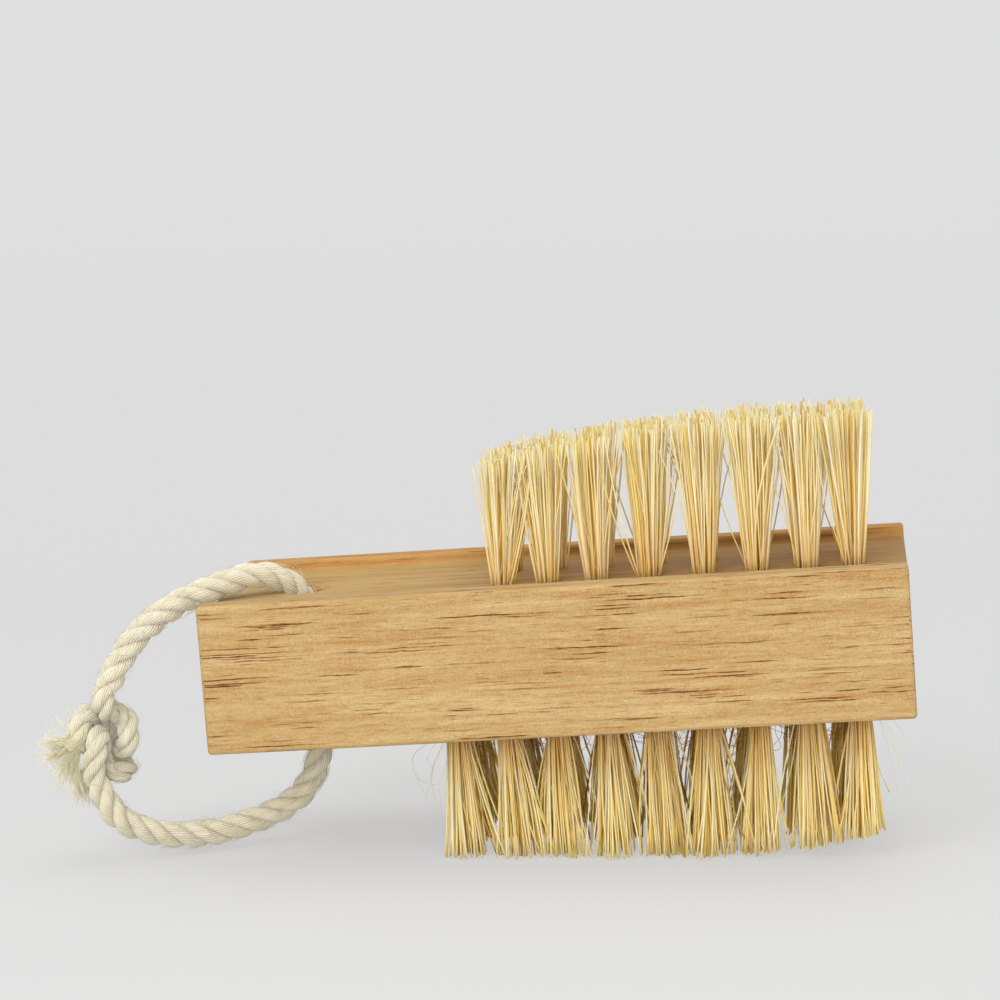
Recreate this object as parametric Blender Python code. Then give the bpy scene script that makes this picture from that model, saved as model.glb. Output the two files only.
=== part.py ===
"""Double-sided pedicure brush: a hardwood block with bristle tufts on both faces and a rope loop.

Metres, +Z up, the floor at z = 0, +X towards the bristle end and -Y towards the viewer. The brush
stands on the tips of its lower bristles, so the block leans by a few degrees about Y.
"""
import math
import random

import bmesh
import bpy
from mathutils import Matrix, Vector

for leftover in list(bpy.data.objects):
    bpy.data.objects.remove(leftover, do_unlink=True)

# Wooden block, with a shallow channel along its upper face between two ridges
block_length = 0.100
block_width = 0.042
block_height = 0.0214
edge_rounding = 0.0005
channel_depth = 0.00165
front_ridge_width = 0.0046
back_ridge_width = 0.0033

# How the block stands on the floor: the height of the middle of its lower face, and its lean
stand_height = 0.0197
stand_tilt = math.radians(2.8)

# Gap that nesting pieces keep to each other
clearance = 0.0003

# Bristle tufts: each bundle is folded over a wire anchor in a blind hole
tuft_radius = 0.00155
tuft_hole_depth = 0.0070
tuft_collar = 0.0004
tuft_core_share = 0.42
tuft_hole_sides = 12
anchor_height = 0.0006
field_end_margin = 0.0077
tip_gap = 0.0003

# Upper tufts: two rows in the channel
upper_columns = 8
upper_field_start = 0.0420
upper_row_spacing = 0.0120
upper_wander = 0.0007
upper_trim_length = 0.0218
upper_trim_fall = 0.0035
upper_fan_radius = 0.0032

# Lower tufts: three rows under the block
lower_columns = 9
lower_field_start = 0.0345
lower_row_spacing = 0.0100
lower_row_shortening = 0.0012
lower_trim_length = 0.0206
lower_trim_rise = 0.0020
lower_trim_rise_start = 0.066
lower_fan_radius = 0.0033

# Strands of a tuft
strand_length_spread = 0.0006
strand_tip_spread = 0.00014
strand_root_share = 0.78
strand_tip_taper = 0.75
floor_cut_depth = 0.0005

# Hole for the rope near the left end, with broken rims
rope_hole_radius = 0.0032
rope_hole_from_end = 0.0119
rope_hole_rim = 0.0009
rope_hole_sides = 24

# Rope loop: soft three-strand cord, turned about the hole from the block's long axis
rope_diameter = 0.0039
loop_turn = math.radians(26.0)
loop_points = 24

# Knot of both ends of the cord, drawn tight so that the cord is thinner there, and the two frayed
# ends beyond it
knot_cord_diameter = 0.0025
knot_points = 56
knot_lead = 0.0024
rope_end_diameter = 0.0025
upper_end_spread = 2.0
lower_end_spread = 1.7

block_half_length = block_length / 2
channel_floor = block_height - channel_depth
tuft_hole_radius = tuft_radius + clearance / math.cos(math.pi / tuft_hole_sides)


def make_material(name, colour, roughness):
    material = bpy.data.materials.new(name)
    material.use_nodes = True
    shader = material.node_tree.nodes["Principled BSDF"]
    shader.inputs["Base Color"].default_value = (*colour, 1.0)
    shader.inputs["Roughness"].default_value = roughness
    shader.inputs["Metallic"].default_value = 0.0
    return material


wood = make_material("oiled_hardwood", (0.62, 0.37, 0.15), 0.55)
upper_fibre = make_material("plant_fibre_upper", (0.74, 0.60, 0.33), 0.60)
lower_fibre = make_material("plant_fibre_lower", (0.66, 0.50, 0.26), 0.60)
cotton = make_material("cotton_cord", (0.78, 0.72, 0.54), 0.90)


def add_object(name, mesh, material, parent):
    obj = bpy.data.objects.new(name, mesh)
    bpy.context.scene.collection.objects.link(obj)
    mesh.materials.append(material)
    obj.parent = parent
    return obj


def add_empty(name, location, rotation, parent=None):
    empty = bpy.data.objects.new(name, None)
    bpy.context.scene.collection.objects.link(empty)
    empty.location = location
    empty.rotation_euler = rotation
    empty.parent = parent
    return empty


def mesh_from(bm, name):
    mesh = bpy.data.meshes.new(name)
    bm.to_mesh(mesh)
    bm.free()
    return mesh


# Everything on the block rides this empty, the middle of the block's lower face. It stands a little
# to the right of the origin, which is then the middle of the leaning block's extent along X.
brush_place = Vector((block_height * math.sin(stand_tilt) / 2, 0.0, stand_height))
brush_axes = add_empty("brush_axes", brush_place, (0.0, -stand_tilt, 0.0))
brush_matrix = Matrix.Translation(brush_place) @ Matrix.Rotation(-stand_tilt, 4, "Y")

# The rope swings about the axis of its hole, which this empty holds; its +X is the loop's reach
rope_hole_x = -block_half_length + rope_hole_from_end
rope_axis = add_empty("rope_axis", (rope_hole_x, 0.0, 0.0), (0.0, 0.0, math.pi + loop_turn), brush_axes)


def turned_solid(profile, sides, first_angle):
    """Closed solid of revolution about Z from (radius, z) pairs, listed from the bottom up."""
    bm = bmesh.new()
    rings = []
    for radius, z in profile:
        angles = [first_angle + math.tau * i / sides for i in range(sides)]
        rings.append([bm.verts.new((radius * math.cos(a), radius * math.sin(a), z)) for a in angles])
    for lower, upper in zip(rings, rings[1:]):
        for i in range(sides):
            j = (i + 1) % sides
            bm.faces.new((lower[i], lower[j], upper[j], upper[i]))
    bm.faces.new(reversed(rings[0]))
    bm.faces.new(rings[-1])
    return bm


def upper_tuft_places():
    """(row name, column, x, y) of each upper tuft; the drill wanders a little along the row."""
    field_end = block_length - field_end_margin
    pitch = (field_end - upper_field_start) / (upper_columns - 1)
    for row_name, side in (("front", -1), ("back", 1)):
        for column in range(upper_columns):
            wander = -upper_wander * math.sin(math.tau * column / (upper_columns - 1))
            x = upper_field_start + pitch * column + wander - block_half_length
            yield row_name, column + 1, x, side * upper_row_spacing / 2


def lower_tuft_places():
    """(row name, column, x, y) of each lower tuft; the rows end a little earlier towards the back."""
    for row, row_name in enumerate(("front", "middle", "back")):
        field_end = block_length - field_end_margin - row * lower_row_shortening
        pitch = (field_end - lower_field_start) / (lower_columns - 1)
        for column in range(lower_columns):
            x = lower_field_start + pitch * column - block_half_length
            yield row_name, column + 1, x, (row - 1) * lower_row_spacing


upper_pitch = (block_length - field_end_margin - upper_field_start) / (upper_columns - 1)
upper_pitch -= upper_wander * math.tau / (upper_columns - 1)
lower_pitch = (block_length - field_end_margin - 2 * lower_row_shortening - lower_field_start)
lower_pitch /= lower_columns - 1


def build_block():
    """Block with its channel, the blind tuft holes of both faces and the rope hole."""
    front = -block_width / 2
    back = block_width / 2
    outline = (
        (front, 0.0),
        (back, 0.0),
        (back, block_height),
        (back - back_ridge_width, block_height),
        (back - back_ridge_width, channel_floor),
        (front + front_ridge_width, channel_floor),
        (front + front_ridge_width, block_height),
        (front, block_height),
    )
    bm = bmesh.new()
    end_face = bm.faces.new([bm.verts.new((-block_half_length, y, z)) for y, z in outline])
    extruded = bmesh.ops.extrude_face_region(bm, geom=[end_face])["geom"]
    moved = [item for item in extruded if isinstance(item, bmesh.types.BMVert)]
    bmesh.ops.translate(bm, verts=moved, vec=(block_length, 0.0, 0.0))
    bmesh.ops.recalc_face_normals(bm, faces=bm.faces)
    block = add_object("block", mesh_from(bm, "block"), wood, brush_axes)

    rounding = block.modifiers.new("rounded_edges", "BEVEL")
    rounding.width = edge_rounding
    rounding.segments = 2
    rounding.limit_method = "ANGLE"
    rounding.angle_limit = math.radians(40.0)

    holes = bmesh.new()
    half_step = math.pi / tuft_hole_sides
    for _, _, x, y in upper_tuft_places():
        profile = ((tuft_hole_radius, -tuft_hole_depth), (tuft_hole_radius, edge_rounding))
        drill = turned_solid(profile, tuft_hole_sides, half_step)
        drill.transform(Matrix.Translation((x, y, channel_floor)))
        holes.from_mesh(mesh_from(drill, "upper_drill"))
    for _, _, x, y in lower_tuft_places():
        profile = ((tuft_hole_radius, -edge_rounding), (tuft_hole_radius, tuft_hole_depth))
        drill = turned_solid(profile, tuft_hole_sides, half_step)
        drill.transform(Matrix.Translation((x, y, 0.0)))
        holes.from_mesh(mesh_from(drill, "lower_drill"))
    rim_radius = rope_hole_radius + rope_hole_rim
    flare = rim_radius + rope_hole_rim
    rope_profile = (
        (flare, -rope_hole_rim),
        (rim_radius, 0.0),
        (rope_hole_radius, rope_hole_rim),
        (rope_hole_radius, channel_floor - rope_hole_rim),
        (rim_radius, channel_floor),
        (flare, channel_floor + rope_hole_rim),
    )
    rope_drill = turned_solid(rope_profile, rope_hole_sides, 0.0)
    rope_drill.transform(Matrix.Translation((rope_hole_x, 0.0, 0.0)))
    holes.from_mesh(mesh_from(rope_drill, "rope_drill"))

    cutter = add_object("hole_cutter", mesh_from(holes, "hole_cutter"), wood, brush_axes)
    cutter.hide_render = True
    cutter.display_type = "WIRE"
    drilling = block.modifiers.new("drilled_holes", "BOOLEAN")
    drilling.operation = "DIFFERENCE"
    drilling.object = cutter


def bundle_grid(bm, z):
    """Nine quads that fill a round tuft's cross-section: a middle, four sides and four corners."""
    core_radius = tuft_core_share * tuft_radius
    step = math.tau / 12
    outer = [Vector((math.cos(step * (i + 0.5)), math.sin(step * (i + 0.5)), 0.0)) for i in range(12)]
    core = [Vector((math.cos(step * (3 * i + 1.5)), math.sin(step * (3 * i + 1.5)), 0.0)) for i in range(4)]
    lift = Vector((0.0, 0.0, z))
    rim = [bm.verts.new(tuft_radius * p + lift) for p in outer]
    mid = [bm.verts.new(core_radius * p + lift) for p in core]
    faces = [bm.faces.new(mid)]
    for k in range(4):
        following = mid[(k + 1) % 4]
        faces.append(bm.faces.new((mid[k], rim[3 * k], rim[3 * k + 1], rim[3 * k + 2])))
        faces.append(bm.faces.new((mid[k], rim[3 * k + 2], rim[(3 * k + 3) % 12], following)))
    return rim, faces


def build_tuft(name, place, trim_length, fan_radius, material, seed, floor_plane=None):
    """One tuft: the root in its hole, the wire anchor across the fold, and nine spreading strands.

    Its own +Z points out of the hole, whose mouth is at z = 0. trim_length(x, y) gives the length
    of a strand from where its tip lies. floor_plane, where given, cuts the tips flat.
    """
    chance = random.Random(seed)
    bm = bmesh.new()
    root_depth = tuft_hole_depth - clearance - anchor_height
    top_rim, cells = bundle_grid(bm, tuft_collar)
    foot_rim, _ = bundle_grid(bm, -root_depth)
    for i in range(12):
        j = (i + 1) % 12
        bm.faces.new((foot_rim[i], foot_rim[j], top_rim[j], top_rim[i]))
    bmesh.ops.recalc_face_normals(bm, faces=bm.faces)

    # The anchor is the middle bar of the foot's grid, pressed down into the bottom of the hole
    bar = [f for f in bm.faces if f.calc_center_median().z < -0.999 * root_depth
           and abs(f.calc_center_median().y) < 0.3 * tuft_radius]
    pressed = bmesh.ops.extrude_face_region(bm, geom=bar)["geom"]
    bar_verts = [item for item in pressed if isinstance(item, bmesh.types.BMVert)]
    bmesh.ops.delete(bm, geom=bar, context="FACES_ONLY")
    bmesh.ops.translate(bm, verts=bar_verts, vec=(0.0, 0.0, -anchor_height))

    # Each cell of the collar is inset and drawn out into a strand that leans away from the middle
    outermost = max(cell.calc_center_median().xy.length for cell in cells)
    strand_half_width = strand_root_share * strand_tip_taper * (tuft_radius - outermost)
    spread = (fan_radius - strand_half_width - strand_tip_spread) / outermost
    for cell in cells:
        corners = [v.co.copy() for v in cell.verts]
        centre = sum(corners, Vector()) / len(corners)
        frame = bmesh.ops.extrude_discrete_faces(bm, faces=[cell])["faces"]
        root = frame[0]
        for vert, corner in zip(root.verts, corners):
            vert.co = centre + strand_root_share * (corner - centre)
        tip = bmesh.ops.extrude_discrete_faces(bm, faces=[root])["faces"][0]
        drift = Vector((chance.uniform(-1, 1), chance.uniform(-1, 1), 0.0)) * strand_tip_spread
        tip_centre = centre * spread + drift
        length = trim_length(place.x + tip_centre.x) + chance.uniform(-1, 1) * strand_length_spread
        tip_centre.z = length
        for vert, corner in zip(tip.verts, corners):
            vert.co = tip_centre + strand_root_share * strand_tip_taper * (corner - centre)
    if floor_plane is not None:
        cut_at_floor(bm, *floor_plane)
    bmesh.ops.recalc_face_normals(bm, faces=bm.faces)
    return add_object(name, mesh_from(bm, name), material, brush_axes)


def cut_at_floor(bm, point, outward):
    """Trim everything beyond the plane and close each cut strand with a flat face."""
    geometry = bm.verts[:] + bm.edges[:] + bm.faces[:]
    bmesh.ops.bisect_plane(bm, geom=geometry, plane_co=point, plane_no=outward, clear_outer=True)
    open_edges = [edge for edge in bm.edges if edge.is_boundary]
    if open_edges:
        bmesh.ops.holes_fill(bm, edges=open_edges, sides=0)


def upper_trim(x):
    """Strands rise towards the right, steeply at first and then level."""
    level_from = 0.030
    share = max(0.0, (level_from - x) / (level_from - (upper_field_start - block_half_length)))
    return upper_trim_length - upper_trim_fall * share ** 2


def lower_trim(x):
    """Strands reach past the floor, where they are cut, and are clipped shorter at the right end."""
    rise_start = lower_trim_rise_start - block_half_length
    share = max(0.0, (x - rise_start) / (block_half_length - field_end_margin - rise_start))
    reach_to_floor = stand_height / math.cos(stand_tilt) + x * math.tan(stand_tilt)
    clipped = lower_trim_length - lower_trim_rise * share ** 3
    if share == 0.0:
        return reach_to_floor + strand_length_spread + floor_cut_depth
    return clipped


def build_tufts():
    """All tufts: the upper ones point up from the channel, the lower ones down from the block."""
    upper_fan = min(upper_fan_radius, upper_pitch / 2 - tip_gap)
    lower_fan = min(lower_fan_radius, lower_pitch / 2 - tip_gap)
    for row_name, column, x, y in upper_tuft_places():
        place = Vector((x, y, channel_floor))
        name = f"upper_tuft_{row_name}_{column}"
        tuft = build_tuft(name, place, upper_trim, upper_fan, upper_fibre, name)
        tuft.location = place
    for row_name, column, x, y in lower_tuft_places():
        place = Vector((x, y, 0.0))
        turned = Matrix.Rotation(math.pi, 4, "X")
        own_matrix = brush_matrix @ Matrix.Translation(place) @ turned
        to_own = own_matrix.inverted()
        floor_point = to_own @ Vector((0.0, 0.0, 0.0))
        floor_outward = to_own.to_3x3() @ Vector((0.0, 0.0, -1.0))
        name = f"lower_tuft_{row_name}_{column}"
        floor_plane = (floor_point, floor_outward)
        tuft = build_tuft(name, place, lower_trim, lower_fan, lower_fibre, name, floor_plane)
        tuft.location = place
        tuft.rotation_euler = (math.pi, 0.0, 0.0)


def smooth_line(route, count):
    """count points, evenly spaced, on the centripetal Catmull-Rom curve through the route."""
    ends = [2 * route[0] - route[1], *route, 2 * route[-1] - route[-2]]
    fine = []
    for p0, p1, p2, p3 in zip(ends, ends[1:], ends[2:], ends[3:]):
        k0 = 0.0
        k1 = k0 + math.sqrt((p1 - p0).length)
        k2 = k1 + math.sqrt((p2 - p1).length)
        k3 = k2 + math.sqrt((p3 - p2).length)
        for i in range(24):
            k = k1 + (k2 - k1) * i / 24
            a1 = p0 * ((k1 - k) / (k1 - k0)) + p1 * ((k - k0) / (k1 - k0))
            a2 = p1 * ((k2 - k) / (k2 - k1)) + p2 * ((k - k1) / (k2 - k1))
            a3 = p2 * ((k3 - k) / (k3 - k2)) + p3 * ((k - k2) / (k3 - k2))
            b1 = a1 * ((k2 - k) / (k2 - k0)) + a2 * ((k - k0) / (k2 - k0))
            b2 = a2 * ((k3 - k) / (k3 - k1)) + a3 * ((k - k1) / (k3 - k1))
            fine.append(b1 * ((k2 - k) / (k2 - k1)) + b2 * ((k - k1) / (k2 - k1)))
    fine.append(route[-1].copy())
    run = [0.0]
    for a, b in zip(fine, fine[1:]):
        run.append(run[-1] + (b - a).length)
    points = []
    at = 0
    for i in range(count):
        wanted = run[-1] * i / (count - 1)
        while at < len(run) - 2 and run[at + 1] < wanted:
            at += 1
        share = (wanted - run[at]) / (run[at + 1] - run[at])
        points.append(fine[at].lerp(fine[at + 1], min(1.0, share)))
    return points


def line_length(points):
    return sum((b - a).length for a, b in zip(points, points[1:]))


def add_cord(name, points, diameter, sides_level, radii=None):
    """Round cord along the points, with filled ends."""
    curve = bpy.data.curves.new(name, "CURVE")
    curve.dimensions = "3D"
    curve.bevel_depth = diameter / 2
    curve.bevel_resolution = sides_level
    curve.use_fill_caps = True
    spline = curve.splines.new("POLY")
    spline.points.add(len(points) - 1)
    for i, point in enumerate(points):
        spline.points[i].co = (*point, 1.0)
        spline.points[i].radius = 1.0 if radii is None else radii[i]
    return add_object(name, curve, cotton, rope_axis)


def least_gap(points, diameter):
    """Smallest distance between surfaces of stretches that aren't neighbours along the cord."""
    spacing = line_length(points) / (len(points) - 1)
    apart = math.ceil(1.6 * diameter / spacing)
    pairs = ((a, b) for i, a in enumerate(points) for b in points[i + apart:])
    return min((a - b).length for a, b in pairs) - diameter


def least_distance(points, others):
    return min((a - b).length for a in points for b in others)


# Routes of the rope. Each point is the reach from the hole's axis, the offset to the side and the
# height over the block's lower face. The legs start in the middle of the hole, against its wall.
hole_middle = channel_floor / 2
upper_leg_route = [Vector(point) for point in (
    (-0.0006, 0.0, hole_middle + clearance / 2),
    (-0.0008, 0.0, 0.0130),
    (-0.0002, 0.0, 0.0176),
    (0.0015, 0.0, 0.0204),
    (0.0042, 0.0, 0.0223),
    (0.0076, 0.0, 0.0229),
    (0.0114, 0.0, 0.0224),
    (0.0154, 0.0, 0.0214),
    (0.0190, 0.0, 0.0201),
    (0.0223, 0.0, 0.0184),
    (0.0253, 0.0, 0.0162),
    (0.0278, 0.0, 0.0134),
)]
lower_leg_route = [Vector(point) for point in (
    (-0.0006, 0.0, hole_middle - clearance / 2),
    (-0.0008, 0.0, 0.0050),
    (-0.0008, 0.0, 0.0004),
    (-0.0007, 0.0, -0.0032),
    (0.0002, 0.0, -0.0067),
    (0.0020, 0.0, -0.0096),
    (0.0048, 0.0, -0.0117),
    (0.0084, 0.0, -0.0130),
    (0.0124, 0.0, -0.0138),
    (0.0164, 0.0, -0.0143),
    (0.0204, 0.0, -0.0141),
    (0.0244, 0.0, -0.0133),
    (0.0280, 0.0, -0.0118),
    (0.0309, 0.0, -0.0095),
)]

# The upper cord goes behind itself to the outer side of the knot, down, and up behind the lower
# cord; the lower cord turns down behind itself, round in front below the upper one, and back.
upper_knot_route = [Vector(point) for point in (
    (0.0307, 0.0005, 0.0092),
    (0.0313, 0.0007, 0.0081),
    (0.0314, 0.0004, 0.0070),
    (0.0309, -0.0007, 0.0059),
    (0.0297, -0.0020, 0.0053),
    (0.0285, -0.0025, 0.0047),
    (0.0277, -0.0021, 0.0037),
    (0.0276, -0.0014, 0.0025),
    (0.0278, -0.0010, 0.0013),
    (0.0281, -0.0013, 0.0003),
    (0.0284, -0.0024, -0.0004),
    (0.0289, -0.0038, -0.0004),
    (0.0295, -0.0048, 0.0004),
    (0.0302, -0.0052, 0.0018),
    (0.0311, -0.0050, 0.0033),
    (0.0321, -0.0043, 0.0045),
    (0.0333, -0.0034, 0.0047),
    (0.0342, -0.0029, 0.0039),
    (0.0347, -0.0026, 0.0026),
    (0.0351, -0.0026, 0.0012),
    (0.0356, -0.0027, -0.0002),
)]
lower_knot_route = [Vector(point) for point in (
    (0.0333, 0.0001, -0.0043),
    (0.0336, 0.0004, -0.0029),
    (0.0336, 0.0009, -0.0013),
    (0.0333, 0.0013, 0.0003),
    (0.0329, 0.0011, 0.0015),
    (0.0324, 0.0002, 0.0022),
    (0.0320, -0.0010, 0.0020),
    (0.0318, -0.0020, 0.0011),
    (0.0317, -0.0025, -0.0003),
    (0.0316, -0.0028, -0.0018),
    (0.0310, -0.0028, -0.0030),
    (0.0301, -0.0022, -0.0037),
    (0.0292, -0.0020, -0.0038),
    (0.0284, -0.0025, -0.0037),
    (0.0279, -0.0035, -0.0036),
    (0.0279, -0.0048, -0.0036),
    (0.0286, -0.0058, -0.0037),
    (0.0300, -0.0060, -0.0039),
    (0.0316, -0.0056, -0.0040),
    (0.0331, -0.0049, -0.0043),
    (0.0346, -0.0042, -0.0050),
)]
upper_end_route = [Vector(point) for point in (
    (0.0371, -0.0027, -0.0013),
    (0.0385, -0.0027, -0.0017),
    (0.0402, -0.0027, -0.0020),
)]
lower_end_route = [Vector(point) for point in (
    (0.0365, -0.0044, -0.0066),
    (0.0376, -0.0049, -0.0077),
)]


def add_end(name, route, knot, spread):
    """A free end, led straight out of the end of its cord in the knot and flaring to its tip."""
    way = (knot[-1] - knot[-2]).normalized()
    line = smooth_line([knot[-1] + clearance * way, knot[-1] + 3 * clearance * way, *route], 7)
    flare = [1.0 + (spread - 1.0) * i / 6 for i in range(7)]
    add_cord(name, line, rope_end_diameter, 2, flare)


def add_leg(name, route, knot, count):
    """A leg of the loop, led straight into the start of its cord in the knot."""
    way = (knot[0] - knot[1]).normalized()
    leg = smooth_line([*route, knot[0] + knot_lead * way], count)
    leg.append(knot[0] + clearance * way)
    add_cord(name, leg, rope_diameter, 3)
    return leg


def build_rope():
    """Rope: two legs that meet in the middle of the hole, the knot of both cords and the free ends."""
    upper_knot = smooth_line(upper_knot_route, knot_points)
    lower_knot = smooth_line(lower_knot_route, knot_points)
    add_cord("rope_knot_upper", upper_knot, knot_cord_diameter, 2)
    add_cord("rope_knot_lower", lower_knot, knot_cord_diameter, 2)
    for name, knot in (("upper", upper_knot), ("lower", lower_knot)):
        own_gap = least_gap(knot, knot_cord_diameter)
        print(f"least gap of the knot's {name} cord to itself: {1000 * own_gap:.2f} mm")
    between = least_distance(upper_knot, lower_knot) - knot_cord_diameter
    print(f"least gap between the knot's two cords: {1000 * between:.2f} mm")

    upper_leg = add_leg("rope_upper_leg", upper_leg_route, upper_knot, loop_points // 2 + 4)
    lower_leg = add_leg("rope_lower_leg", lower_leg_route, lower_knot, loop_points // 2 + 6)
    add_end("rope_end_upper", upper_end_route, upper_knot, upper_end_spread)
    add_end("rope_end_lower", lower_end_route, lower_knot, lower_end_spread)
    for name, leg, knot in (("upper", upper_leg, upper_knot), ("lower", lower_leg, lower_knot)):
        in_knot = line_length(knot)
        print(f"{name} leg {1000 * line_length(leg):.0f} mm, and {1000 * in_knot:.0f} mm in the knot")


build_block()
build_tufts()
build_rope()
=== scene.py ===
"""Double-sided pedicure brush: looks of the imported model, in the same frame, metres, +Z up."""
import math
import random

import bpy
import numpy as np
from mathutils import Matrix, Vector


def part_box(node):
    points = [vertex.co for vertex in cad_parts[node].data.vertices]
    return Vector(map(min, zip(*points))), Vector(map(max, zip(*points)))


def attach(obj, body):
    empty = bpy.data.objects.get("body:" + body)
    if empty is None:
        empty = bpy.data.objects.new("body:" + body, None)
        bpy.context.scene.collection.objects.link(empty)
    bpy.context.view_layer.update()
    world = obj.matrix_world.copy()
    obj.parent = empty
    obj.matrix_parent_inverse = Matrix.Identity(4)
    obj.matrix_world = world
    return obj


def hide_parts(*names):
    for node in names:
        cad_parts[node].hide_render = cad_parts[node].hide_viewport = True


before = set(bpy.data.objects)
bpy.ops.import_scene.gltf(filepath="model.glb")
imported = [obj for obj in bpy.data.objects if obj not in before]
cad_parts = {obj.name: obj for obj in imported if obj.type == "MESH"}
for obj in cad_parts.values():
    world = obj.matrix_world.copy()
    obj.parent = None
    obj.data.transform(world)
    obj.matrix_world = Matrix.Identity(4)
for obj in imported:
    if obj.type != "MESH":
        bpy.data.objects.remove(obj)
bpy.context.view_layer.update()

# Camera. It stands where the block's six visible corners say, a little to the right of the brush and
# above it, with a long lens.
camera_place = (0.0409, -0.4597, 0.1148)
lens_mm = 115.57
camera_data = bpy.data.cameras.new("photo_camera")
camera_data.sensor_width = 36.0
camera_data.lens = lens_mm
camera_data.clip_start = 0.01
camera = bpy.data.objects.new("photo_camera", camera_data)
bpy.context.scene.collection.objects.link(camera)
bpy.context.scene.camera = camera
forward = Vector((-0.1070, 0.9847, -0.1378)).normalized()
image_right = Vector((0.9942, 0.1043, -0.0263))
image_right = (image_right - image_right.dot(forward) * forward).normalized()
image_up = image_right.cross(forward)
camera.matrix_world = Matrix.Translation(camera_place) @ Matrix(
    (
        (image_right.x, image_up.x, -forward.x, 0.0),
        (image_right.y, image_up.y, -forward.y, 0.0),
        (image_right.z, image_up.z, -forward.z, 0.0),
        (0.0, 0.0, 0.0, 1.0),
    )
)

# Axes of the brush. The block leans by 2.8 degrees on its bristle tips, and everything on it is
# made in its own axes: x along the block, y towards its back, z up from the middle of its lower face.
stand_tilt = math.radians(2.8)
stand_height = 0.0197
stand_shift = 0.0005227
brush_axes = (Matrix.Translation((stand_shift, 0.0, stand_height))
              @ Matrix.Rotation(-stand_tilt, 4, "Y"))
to_brush = brush_axes.inverted()
block_half_length = 0.050
channel_floor = 0.01975


# Rope loop, its two legs and the knot that closes it. Soft three-strand cotton cord, 4 mm, laid
# right-handed; each strand is a dozen loose yarns. The legs come out of both mouths of the hole and
# their ends are knotted together and drawn tight, which makes the cord thinner there.
def distance_along(line):
    """Length of the line from its start to each of its points."""
    return np.concatenate([[0.0], np.cumsum(np.linalg.norm(np.diff(line, axis=0), axis=1))])


def line_length(line):
    return float(np.sum(np.linalg.norm(np.diff(line, axis=0), axis=1)))


def smooth_line(route, spacing):
    """Evenly spaced points on the centripetal Catmull-Rom curve through the route."""
    route = np.array([tuple(p) for p in route], float)
    ends = np.vstack([2 * route[0] - route[1], route, 2 * route[-1] - route[-2]])
    share = np.linspace(0.0, 1.0, 32, endpoint=False)[:, None]
    fine = []
    for p0, p1, p2, p3 in zip(ends, ends[1:], ends[2:], ends[3:]):
        k1 = math.sqrt(np.linalg.norm(p1 - p0))
        k2 = k1 + math.sqrt(np.linalg.norm(p2 - p1))
        k3 = k2 + math.sqrt(np.linalg.norm(p3 - p2))
        k = k1 + (k2 - k1) * share
        a1 = p0 + (p1 - p0) * k / k1
        a2 = p1 + (p2 - p1) * (k - k1) / (k2 - k1)
        a3 = p2 + (p3 - p2) * (k - k2) / (k3 - k2)
        b1 = a1 + (a2 - a1) * k / k2
        b2 = a2 + (a3 - a2) * (k - k1) / (k3 - k1)
        fine.append(b1 + (b2 - b1) * (k - k1) / (k2 - k1))
    fine = np.vstack([*fine, route[-1:]])
    run = distance_along(fine)
    wanted = np.linspace(0.0, run[-1], max(2, round(run[-1] / spacing) + 1))
    return np.stack([np.interp(wanted, run, fine[:, axis]) for axis in range(3)], axis=1)


def unit(vectors):
    return vectors / np.linalg.norm(vectors, axis=-1, keepdims=True)


def carried_frames(line, first_side):
    """Direction along the line and two normals that turn as little as possible."""
    way = unit(np.gradient(line, axis=0))
    side = np.empty_like(line)
    held = np.array(first_side, float)
    for i, ahead in enumerate(way):
        held = held - ahead * held.dot(ahead)
        held /= np.linalg.norm(held)
        side[i] = held
    return way, side, np.cross(way, side)


def slow_waves(chance, run, wavelengths, size):
    """A smooth random wave along run, made of one sine for each wavelength."""
    wave = np.zeros_like(run)
    for length in wavelengths:
        wave += np.sin(math.tau * run / length + chance.uniform(0.0, math.tau))
    return wave * size / len(wavelengths)


def tube_mesh(name, rings_of_tubes, values):
    """One mesh of closed tubes, each an array of rings of points, with named point values."""
    verts = []
    faces = []
    for rings in rings_of_tubes:
        first = len(verts)
        count, sides = rings.shape[:2]
        verts.extend(map(tuple, rings.reshape(-1, 3)))
        for i in range(count - 1):
            low = first + i * sides
            for k in range(sides):
                j = (k + 1) % sides
                faces.append((low + k, low + j, low + sides + j, low + sides + k))
        faces.append(tuple(range(first + sides - 1, first - 1, -1)))
        faces.append(tuple(range(first + (count - 1) * sides, first + count * sides)))
    mesh = bpy.data.meshes.new(name)
    mesh.from_pydata(verts, [], faces)
    mesh.polygons.foreach_set("use_smooth", [True] * len(faces))
    for value_name, numbers in values.items():
        attribute = mesh.attributes.new(value_name, "FLOAT", "POINT")
        attribute.data.foreach_set("value", np.asarray(numbers, np.float32).ravel())
    mesh.update()
    return mesh


def add_piece(name, mesh, material, axes, body):
    """Moves a mesh into the given axes and links it as a piece that rides on a body."""
    mesh.transform(axes)
    mesh.materials.append(material)
    piece = bpy.data.objects.new(name, mesh)
    bpy.context.scene.collection.objects.link(piece)
    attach(piece, body)
    return piece


def thin_tubes(paths, radii, sides, chance):
    """Rings of thin tubes along the paths: (tube, point, side, xyz)."""
    way = unit(np.gradient(paths, axis=1))
    hint = unit(np.array([
        [chance.gauss(0, 1), chance.gauss(0, 1), chance.gauss(0, 0.3)] for _ in paths]))
    side = unit(hint[:, None, :] - way * np.sum(way * hint[:, None, :], axis=2, keepdims=True))
    other = np.cross(way, side)
    spin = np.arange(sides) * math.tau / sides
    around = (np.cos(spin)[:, None] * side[:, :, None, :]
              + np.sin(spin)[:, None] * other[:, :, None, :])
    return paths[:, :, None, :] + radii[:, :, None, None] * around


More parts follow.
